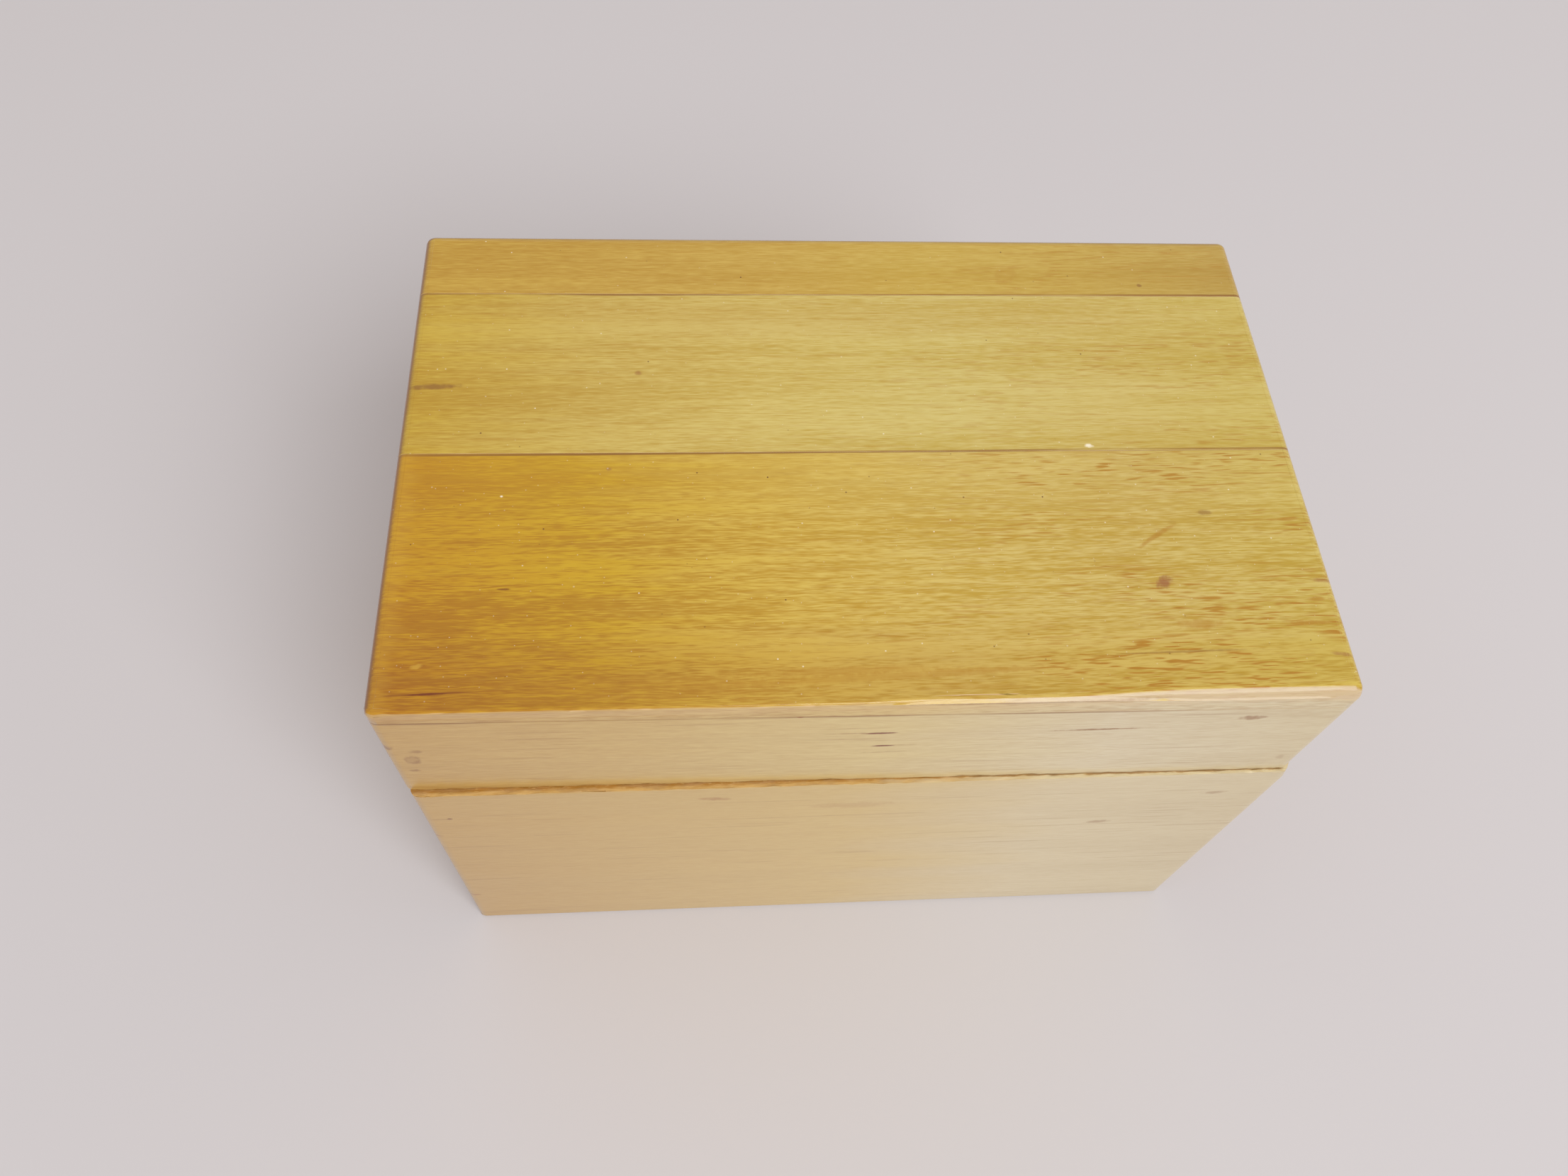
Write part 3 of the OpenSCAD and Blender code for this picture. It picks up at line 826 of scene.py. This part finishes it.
frontMarks = [  # from left to right: x, height, half length, half width, strength and tone
    mark(-70.4, 62.1, 0.6, 0.5, 0.9, "mark"),
    mark(-72.2, 61.9, 2.4, 0.4, 0.35, "mark"),
    mark(-74.4, 53.4, 1.6, 0.6, 0.7, "purple"),
    mark(-73.6, 16.7, 1.8, 0.7, 0.7, "purple"),
    mark(-25.1, 68, 3.4, 0.9, 0.6, "purple", turn=-6),
    mark(-1, 63, 10, 1.6, 0.25, "purple"),
    mark(64.4, 63.6, 2.6, 0.8, 0.45, "mark", turn=8),
    mark(46.8, 49.8, 2.8, 1, 0.5, "mark", turn=10),
]
baseWood = {
    "front": {"cut": 1, "figure": 0.34, "pores": 0.08, "soft": 0.2, "marks": frontMarks},
    "back": {"cut": 2, "figure": 0.6, "tones": "behind"},
    "left": {"grain": "y", "cut": 3, "tones": "side"},
    "right": {"grain": "y", "cut": 4, "tones": "side"},
}
panelWood = {"cut": 6, "figure": 0.7, "tones": "side"}
baseFrontShape = {"cuts": 268, "rowsDown": (3, 2, 1.4, 0.9, 0.45), "rowsIn": (0.25, 0.6, 1, 1.5, 2.3)}
baseWear = {
    "corner": {"way": "X", "depth": 0.72, "reach": (1.8, 2.8, 3.4), "share": 1.7},
    "rim": {"depth": 0.55, "grain": 0.9, "stretch": 1.6, "contrast": 1.6, "bright": 1.25},
    "arris": {"way": "Y", "depth": -0.4, "grain": 0.9, "stretch": 2.2, "contrast": 2.2, "bright": 1.4,
              "at": 31},
}
panelW = innerW + box["bottomSeat"]
panelD = halfD - box["frontThickness"] + box["bottomSeat"]

baseBoards = frameBoards("base", rimHeight, baseFrontShape["cuts"],
                         [rimHeight - down for down in baseFrontShape["rowsDown"]])
for side, board in baseBoards.items():
    softenEdges(board, [(box["cornerRound"], isOuterCorner), (box["footRound"], isFoot),
                        (box["grooveRound"], isGroove)])
    combine(board, newBlock("panelSpace", (-panelW, -panelD, -1), (panelW, panelD, box["bottomThickness"])))
    closeOnBrads(board, side, baseBrads)
    combine(board, copyOf(bottomBrads))
for cut in hingeCuts["base"]:
    combine(baseBoards["back"], cut)

baseFront = baseBoards["front"]
cutAcross(baseFront, 1, [row - halfD for row in baseFrontShape["rowsIn"]])
# the right corner of the rim is rubbed away, and the rest of it is torn
reachX, reachY, reachZ = baseWear["corner"]["reach"]
roughen(baseFront, "corner", baseWear["corner"],
        lambda co: near(co.x - halfW, reachX) * near(co.y + halfD, reachY) * near(co.z - rimHeight, reachZ)
        * baseWear["corner"]["share"])
roughen(baseFront, "rim", baseWear["rim"],
        lambda co: 1 - abs(co.z - rimHeight) * 2.2 - abs(co.y + halfD) / 2.2)
roughen(baseFront, "arris", baseWear["arris"],
        lambda co: 1 - abs(co.z - rimHeight) * 2 if co.y < 0.05 - halfD and abs(co.x) < halfW - 1.6 else 0)

panel = newBlock("base_bottom_panel_wood", (-panelW, -panelD, 0), (panelW, panelD, box["bottomThickness"]))
softenEdges(panel, [(0.25, lambda e, m: m.z < touch)], 2)
combine(panel, copyOf(bottomBrads))
wellSteps = [(brad["head"] / 2, -1), (brad["head"] / 2, 2 * brad["bottomSink"])]
for x, y in bottomPlaces:
    combine(panel, placed(turned("well", wellSteps, facets["brad"]), (x, y, 0)))

finishFrame("base", baseBoards, baseWood, 1)
dress(panel, [woodFinish("panel_varnished", panelWood), bare["x"]],
      lambda centre, normal: int(normal.z > 0.5))
setDown(panel, "base")
print("base ready")


# The lid, which is modelled with its rim at 0 and then laid on the base

lidFrontMarks = [
    mark(-72, 85.7, 1.5, 2.1, 0.9, "mark", ring=True),
    mark(-71.3, 84.9, 0.8, 0.8, 0.5, "mark"),
    mark(-70.9, 89, 1.3, 0.7, 0.6, "mark"),
    mark(-72.5, 81.5, 1.1, 0.6, 0.7, "mark"),
    mark(-75.3, 90.6, 1.5, 1.1, 0.9, "mark"),
    mark(-12.5, 99.3, 0.75, 0.8, 1, "rust", core=0.3, ragged=0.9),
    mark(0.4, 92.2, 3.4, 0.34, 1, "crack", turn=1.5, ragged=0.7, core=0.2),
    mark(-2.8, 92.4, 6.4, 0.3, 0.4, "mark", turn=1.5),
    mark(1.4, 87.2, 2.2, 0.34, 1, "crack", turn=1.5, ragged=0.7, core=0.2),
    mark(3.2, 87.3, 4.4, 0.3, 0.3, "mark", turn=1.5),
    mark(1.6, 84.6, 5.2, 0.25, 0.35, "mark", turn=1.5),
    mark(35, 91.8, 8.5, 0.4, 0.85, "mark", turn=1),
    mark(58.8, 95.1, 2.7, 1, 0.75, "mark"),
    mark(70.3, 78.2, 0.9, 1.2, 0.25, "mark"),
]
topFrontMarks = [  # x, y, half length, half width, strength and tone
    mark(-3.5, -42.4, 38, 0.9, 0.42, "dash", turn=2.2, ragged=1.6),
    mark(-34, -44.6, 26, 0.7, 0.34, "dash", turn=1.2, ragged=1.6),
    mark(46.4, -26.8, 1.9, 1.2, 0.8, "knot", turn=35, ragged=1.8),
    mark(47, -18, 4.9, 0.55, 0.65, "dash", turn=33, curve=-0.5),
    mark(55.8, -13.8, 1.6, 0.6, 0.6, "mark"),
    mark(50.2, -34.5, 5.2, 1, 0.55, "dash"),
    mark(68, -34.6, 4.4, 0.5, 0.7, "dash"),
    mark(-66.8, -43.4, 8.4, 0.22, 0.6, "crack", turn=1.6, ragged=0.3),
    mark(-66.8, -43.45, 3.4, 0.3, 0.9, "crack", turn=1.6, ragged=0.6),
    mark(-68.7, -38.9, 1.2, 0.5, 0.5, "worn", turn=8, ragged=1.6),
    mark(-38, -42.5, 26, 2.2, 0.3, "dash"),
    mark(-8, -41.2, 20, 0.9, 0.45, "dash", turn=1),
    mark(47.4, -39.2, 13, 0.25, 0.5, "mark", turn=1),
    mark(72.2, -27, 2.4, 0.5, 0.65, "purple", turn=-4),
    mark(71.6, -40.2, 2.2, 0.5, 0.65, "purple", turn=-8),
    mark(70.4, -30.4, 2, 0.5, 0.6, "dash"),
    mark(-56.9, -30.3, 1.3, 1, 0.3, "dash", turn=30),
    mark(-56.9, -26.1, 1.3, 0.22, 0.75, "crack"),
    mark(-41.4, -3.9, 0.6, 0.4, 0.6, "purple"),
    mark(-58.3, -9, 0.3, 0.25, 0.9, "nib", ragged=1.6),
]
topMiddleMarks = [
    mark(-10, 28.5, 75, 6, 0.16, "dash", ragged=0.8),
    mark(-71, 13.4, 5.8, 0.75, 0.75, "mark", turn=2, ragged=1.5),
    mark(-36.8, 16.2, 0.8, 0.6, 0.7, "purple"),
    mark(71.6, -10.2, 3.4, 0.4, 0.5, "dash", turn=12),
    mark(39.1, 0, 0.9, 0.5, 0.95, "nib", ragged=1.8),
]
topRearMarks = [
    mark(30.3, 39, 3.2, 2.2, 0.4, "dash", turn=50, ring=True),
    mark(55.1, 36.6, 0.7, 0.5, 0.7, "mark"),
]
# a thin dark line along the face just under the front edge's round, drawn in the mark tone
topFrontLine = mark(22, 102.2, 25, 0.34, 0.5, "mark", ragged=1)
frontJoint, rearJoint = (seam + lidSeat["back"] for seam in box["topSeams"])
lidWood = {
    "front": {"cut": 7, "tones": "lid", "figure": 0.5, "pores": 0.12, "marks": lidFrontMarks,
              "glue": True},
    "back": {"cut": 8, "figure": 0.6, "tones": "behind"},
    "left": {"grain": "y", "cut": 10, "tones": "side"},
    "right": {"grain": "y", "cut": 12, "tones": "side"},
}
topWood = {
    "front": {"cut": 13, "amber": "frontAmber", "amberFigure": 1, "soft": 0.095, "edge": 0.55, "dust": 0.35,
              "dashes": (-5, 40, 0.75), "worn": 0.2, "marks": [topFrontLine], "topMarks": topFrontMarks,
              "joints": [frontJoint], "glue": True},
    "middle": {"cut": 14, "amber": "middleAmber", "soft": 0.15, "pores": 0.12, "topMarks": topMiddleMarks,
               "joints": [frontJoint, rearJoint], "glue": True},
    "rear": {"cut": 15, "amber": "rearAmber", "soft": 0.17, "pores": 0.08, "dust": 0.1,
             "topMarks": topRearMarks, "joints": [rearJoint], "glue": True},
}
lidFrontShape = {"cuts": 180, "rows": (0.4, 0.9), "rowsIn": (0.3, 0.7, 1.3),
                 "tall": 28}  # over the glue line, where it is then trimmed
lidWear = {
    "rim": {"depth": -0.3, "grain": 0.7, "stretch": 1.8, "contrast": 1.8, "bright": 1.3},
    "arris": {"way": "Y", "depth": -0.25, "grain": 0.8, "stretch": 2, "contrast": 2, "bright": 1.4,
              "at": 17},
    "edge": {"way": "Y", "depth": -0.16, "grain": 3, "stretch": 4, "at": 5},
    "edgeTop": {"depth": 0.16, "grain": 2.2, "stretch": 4, "at": 45},
}
topShape = {"low": 22, "cuts": 120, "segments": 6, "endKeep": 3}
frontEdge = {  # profiles from the top to the face, as pairs of in from the face and down from the top
    "leftRadius": 1, "rightRadius": 2.6, "from": 22, "to": 58, "segments": 10,
    "toMiddle": (-4, 14), "toRight": (28, 52),  # where in x one profile goes over into the next
    "plainEnd": 2.2, "fade": 3,  # the corners keep their even round, and the profiles fade in from there
    "left": [(0.55, 0), (0.42, 0.02), (0.3, 0.06), (0.2, 0.11), (0.12, 0.18), (0.07, 0.26), (0.03, 0.35),
             (0.01, 0.44), (0, 0.52), (0, 0.75), (0, 1)],
    "middle": [(1.3, 0), (1.1, 0.01), (0.95, 0.03), (0.82, 0.05), (0.71, 0.08), (0.62, 0.1), (0.55, 0.13),
               (0.48, 0.16), (0, 0.47), (0, 0.8), (0, 1.2)],
    "right": [(2.1, 0), (1.75, 0.04), (1.45, 0.14), (1.17, 0.32), (0.9, 0.5), (0.62, 0.74), (0.42, 0.98),
              (0.3, 1.22), (0, 1.42), (0, 1.9), (0, 2.6)],
}


def trimAtJoint(piece, above):
    # planes the frame's top, or the top boards' underside, to the slope of the glue line
    openMesh(piece)
    bpy.ops.mesh.select_all(action="SELECT")
    bpy.ops.mesh.bisect(plane_co=(0, 0, jointMiddle), plane_no=(-jointSlope, 0, 1), use_fill=True,
                        clear_inner=above, clear_outer=not above)
    closeMesh()


def nearJoint(m):
    return abs(m.z - jointMiddle - jointSlope * m.x) < 0.02


def onOutline(e, m):
    # along the glue line round the outside, rounded corners and all
    corner = box["cornerRound"] + touch
    atCorner = abs(m.y) > halfD - corner and abs(m.x) > halfW - corner
    return nearJoint(m) and (atFace(m) or atEnd(m) or atCorner)


def softenJoint(board):
    softenEdges(board, [(box["jointRound"], onOutline)], 2)


def isTop(m):
    return m.z > box["lidHeight"] - touch


def isSeam(e, m):
    # along a seam between two top boards, on top and down their rounded ends
    return (not nearJoint(m) and (isTop(m) or abs(m.x) > halfW - box["topRound"] - touch)
            and any(all(abs(v.co.y - seam) < 0.001 for v in e.verts) for seam in box["topSeams"]))


def edgeRadius(place):
    # the front edge is rounder towards its right end
    share = eased(place.x, frontEdge["from"], frontEdge["to"])
    return frontEdge["leftRadius"] + (frontEdge["rightRadius"] - frontEdge["leftRadius"]) * share


def shapeFrontEdge(board):
    # the even round that the edge got is moved to the profiles, except close to the corners
    for v in board.data.vertices:
        radius, drop = edgeRadius(v.co), box["lidHeight"] - v.co.z
        inside = min(1, max(0, (halfW - frontEdge["plainEnd"] - abs(v.co.x)) / frontEdge["fade"]))
        onRound = v.co.y < radius - halfD + 0.05 and drop < radius + 0.05
        if onRound and inside > 0:
            angle = math.degrees(math.acos(max(0, min(1, 1 - drop / radius))))
            row = round(angle * frontEdge["segments"] / 90)
            toMiddle, toRight = eased(v.co.x, *frontEdge["toMiddle"]), eased(v.co.x, *frontEdge["toRight"])
            rows = zip(*(frontEdge[place][row] for place in ("left", "middle", "right")))
            into, down = [(a * (1 - toMiddle) + b * toMiddle) * (1 - toRight) + c * toRight
                          for a, b, c in rows]
            v.co.y += (into - halfD - v.co.y) * inside
            v.co.z += (box["lidHeight"] - down - v.co.z) * inside


lidBoards = frameBoards("lid", lidFrontShape["tall"], lidFrontShape["cuts"], lidFrontShape["rows"])
for side, board in lidBoards.items():
    trimAtJoint(board, False)
    corner = [(box["cornerRound"], isOuterCorner)] if side in ("front", "back") else []
    softenEdges(board, [*corner, (box["grooveRound"], isGroove)])
    softenJoint(board)
print("lid frame ready")

topBoards = {}
topEdges = (-halfD, *box["topSeams"], halfD)
for part, y0, y1 in zip(("front", "middle", "rear"), topEdges, topEdges[1:]):
    board = newBlock(f"lid_top_board_{part}_wood", (-halfW, y0, topShape["low"]),
                     (halfW, y1, box["lidHeight"]))
    keep = halfW - topShape["endKeep"]
    cutAcross(board, 0, [-keep, keep])
    splitAlong(board, 0, -keep, keep, topShape["cuts"])
    trimAtJoint(board, True)
    radius, segments = box["topRound"], topShape["segments"]
    if part == "front":
        radius, segments = edgeRadius, frontEdge["segments"]
    softenEdges(board, [(box["topRound"], lambda e, m: isTop(m) and runsAlong(e, 1) and atEnd(m)),
                        (radius, lambda e, m: isTop(m) and atFace(m)),
                        (box["cornerRound"], isOuterCorner)], segments, frontEdge["rightRadius"])
    # the hairlines round the glued faces come once the ends are round
    softenEdges(board, [(box["grooveRound"], isSeam)], 3)
    softenJoint(board)
    topBoards[part] = board
shapeFrontEdge(topBoards["front"])
roughen(topBoards["front"], "edge", lidWear["edge"],
        lambda co: 1.3 - (co.y + halfD) / 1.6 if co.z > 26.8 and abs(co.x) < halfW - 1.8 else 0)
roughen(topBoards["front"], "edgeTop", lidWear["edgeTop"],
        lambda co: 1 - (co.y + halfD) / 2.2 if co.z > 29 and abs(co.x) < halfW - 1.8 else 0)
print("top boards ready")

lidFront = lidBoards["front"]
closeOnBrads(lidFront, "front", lidBrads)
cutAcross(lidFront, 1, [row - halfD for row in lidFrontShape["rowsIn"]])
roughen(lidFront, "rim", lidWear["rim"], lambda co: 1 - co.z * 1.2 - abs(co.y + halfD) / 1.5)
roughen(lidFront, "arris", lidWear["arris"],
        lambda co: 1 - co.z * 1.4 if co.y < 0.05 - halfD and abs(co.x) < halfW - 1.6 else 0)

for piece in (*lidBoards.values(), *topBoards.values(), *lidBrads.values()):
    placed(piece, (-lidSeat["left"], lidSeat["back"], rimHeight), (0, 0, lidSeat["turn"]))
for side in ("back", "left", "right"):
    closeOnBrads(lidBoards[side], side, lidBrads)
for cut in hingeCuts["lid"]:
    combine(lidBoards["back"], cut)

finishFrame("lid", lidBoards, lidWood, -1)
for part, board in topBoards.items():
    dress(board, [woodFinish(f"top_{part}_varnished", topWood[part]), bare["x"]],
          lambda centre, normal: int(normal.z < -0.5))
    setDown(board, "lid")
for body, pieces in (("base", baseBrads.values()), ("lid", lidBrads.values()), ("base", [bottomBrads])):
    for piece in pieces:
        dress(piece, [steel])
        setDown(piece, body)
print("lid ready")


# Floor, light and camera

studio = {"floor": paint(205, 201, 203), "floorSize": 6, "backdrop": (0.80, 0.77, 0.78, 1),
          "sky": (1.0, 0.93, 0.89, 1), "skyLevel": 0.61, "keyLevel": 50.5, "keyColour": (0.95, 0.98, 1.0),
          "keyAt": (910, -1610, 1870), "keyAim": (0, 0, 60), "keySize": 1480}
camera = {"at": (-28.42, -120.47, 265.28), "yaw": -0.1514, "pitch": 1.042, "roll": 0.1137, "lens": 27.888}

deselectAll()
bpy.ops.mesh.primitive_plane_add(size=studio["floorSize"], location=(0, 0, 0))
floor = nameIt(bpy.context.object, "floor")
floor.data.materials.append(Finish("floor_paper").finish(Base_Color=studio["floor"], Roughness=0.85))

world = bpy.data.worlds.new("studio")
bpy.context.scene.world = world
world.use_nodes = True
nodes, links = world.node_tree.nodes, world.node_tree.links
nodes.clear()
sky, backdrop = nodes.new("ShaderNodeBackground"), nodes.new("ShaderNodeBackground")
sky.inputs["Color"].default_value, sky.inputs["Strength"].default_value = studio["sky"], studio["skyLevel"]
backdrop.inputs["Color"].default_value = studio["backdrop"]
kinds = ("LightPath", "MixShader", "OutputWorld")
rays, choice, worldOut = (nodes.new("ShaderNode" + kind) for kind in kinds)
links.new(rays.outputs["Is Camera Ray"], choice.inputs[0])
links.new(sky.outputs[0], choice.inputs[1])
links.new(backdrop.outputs[0], choice.inputs[2])
links.new(choice.outputs[0], worldOut.inputs["Surface"])

keyData = bpy.data.lights.new("window", "AREA")
keyData.shape, keyData.size, keyData.energy = "SQUARE", studio["keySize"] * mm, studio["keyLevel"]
keyData.color = studio["keyColour"]
key = bpy.data.objects.new("window", keyData)
bpy.context.scene.collection.objects.link(key)
key.location = Vector(studio["keyAt"]) * mm
key.rotation_mode = "QUATERNION"
key.rotation_quaternion = (Vector(studio["keyAim"]) * mm - key.location).to_track_quat("-Z", "Y")

yaw, pitch, roll = camera["yaw"], camera["pitch"], camera["roll"]
forward = Vector((-math.sin(yaw) * math.cos(pitch), math.cos(yaw) * math.cos(pitch), -math.sin(pitch)))
right = forward.cross(Vector((0, 0, 1))).normalized()
up = right.cross(forward)
right, up = math.cos(roll) * right + math.sin(roll) * up, -math.sin(roll) * right + math.cos(roll) * up
lens = bpy.data.cameras.new("camera")
lens.lens, lens.sensor_width = camera["lens"], 36
lens.clip_start, lens.clip_end = 0.01, 50
eye = bpy.data.objects.new("camera", lens)
bpy.context.scene.collection.objects.link(eye)
turn = Matrix((right, up, -forward)).transposed().to_4x4()
eye.matrix_world = Matrix.Translation(Vector(camera["at"]) * mm) @ turn
bpy.context.scene.camera = eye
bpy.context.scene.view_settings.view_transform = "Standard"

print("scene ready")
